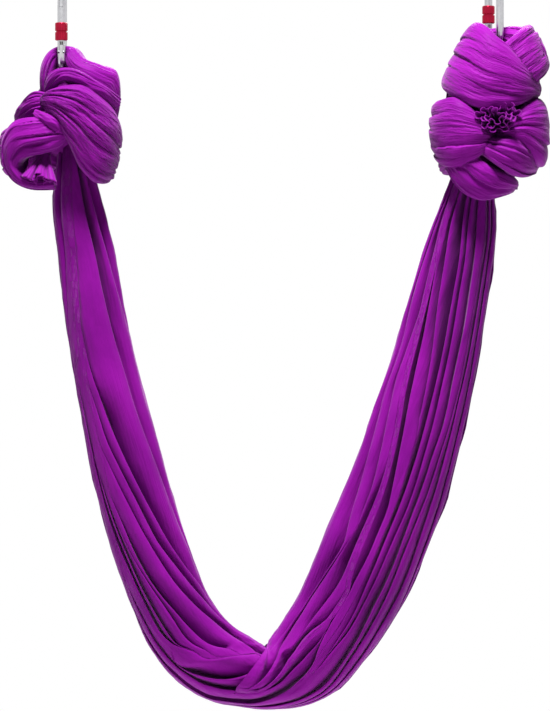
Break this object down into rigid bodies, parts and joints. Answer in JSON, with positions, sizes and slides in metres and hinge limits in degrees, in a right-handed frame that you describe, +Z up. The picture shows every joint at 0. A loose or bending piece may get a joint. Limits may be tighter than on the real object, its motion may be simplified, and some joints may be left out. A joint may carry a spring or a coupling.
{
  "type": "aerial silk hammock",
  "caption": "Wide hanging cloth sling, knotted at each end onto a screw-lock carabiner, for aerial yoga and circus work.",
  "frame": {"origin": "inside of the left carabiner's top bow, where the rigging carries it", "axes": "+X from the left carabiner to the right one, +Z up, -Y towards the viewer"},
  "size_m": [0.6912, 0.1413, 0.94],
  "materials": {
    "alloy": "polished",
    "steel": "brushed",
    "red_anodised": "anodised",
    "silk": "soft satin nylon tricot"
  },
  "bodies": {
    "hanging_sling": {"sling": "silk", "left_knot": "silk", "left_tail": "silk", "right_knot": "silk", "right_tail": "silk", "left_frame": "alloy", "right_frame": "alloy"},
    "left_gate_assembly": {"left_gate": "alloy", "left_hinge_rivet": "steel", "left_latch_pin": "steel", "left_gate_spring": "steel"},
    "left_push_rod": {"left_plunger": "steel"},
    "left_sleeve": {"left_lock_sleeve": "red_anodised"},
    "right_gate_assembly": {"right_gate": "alloy", "right_hinge_rivet": "steel", "right_latch_pin": "steel", "right_gate_spring": "steel"},
    "right_push_rod": {"right_plunger": "steel"},
    "right_sleeve": {"right_lock_sleeve": "red_anodised"}
  },
  "joints": [
    {"name": "left_gate_hinge", "type": "hinge", "parent": "hanging_sling", "child": "left_gate_assembly", "pos_m": [0, -0.023, -0.0739], "axis": [-1, 0, 0], "range_deg": [0, 28], "stiffness_Nm_per_rad": 0.9, "springref_deg": -17.19},
    {"name": "left_push_rod_slide", "type": "slide", "parent": "left_gate_assembly", "child": "left_push_rod", "axis": [0, 0, 1], "range_m": [0, 0.0017], "deforming": ["left_gate_spring"]},
    {"name": "left_sleeve_slide", "type": "slide", "parent": "left_gate_assembly", "child": "left_sleeve", "axis": [0, 0, 1], "range_m": [0, 0.029]},
    {"name": "right_gate_hinge", "type": "hinge", "parent": "hanging_sling", "child": "right_gate_assembly", "pos_m": [0.53805, 0.02222, -0.0489], "axis": [0.9659, 0.2588, 0], "range_deg": [0, 28], "stiffness_Nm_per_rad": 0.9, "springref_deg": -17.19},
    {"name": "right_push_rod_slide", "type": "slide", "parent": "right_gate_assembly", "child": "right_push_rod", "axis": [0, 0, 1], "range_m": [0, 0.0017], "deforming": ["right_gate_spring"]},
    {"name": "right_sleeve_slide", "type": "slide", "parent": "right_gate_assembly", "child": "right_sleeve", "axis": [0, 0, 1], "range_m": [0, 0.029]}
  ],
  "couplings": [
    {"joint": "left_push_rod_slide", "follows": "left_gate_hinge", "m_per_rad": 0.0033},
    {"joint": "right_push_rod_slide", "follows": "right_gate_hinge", "m_per_rad": 0.0033}
  ]
}
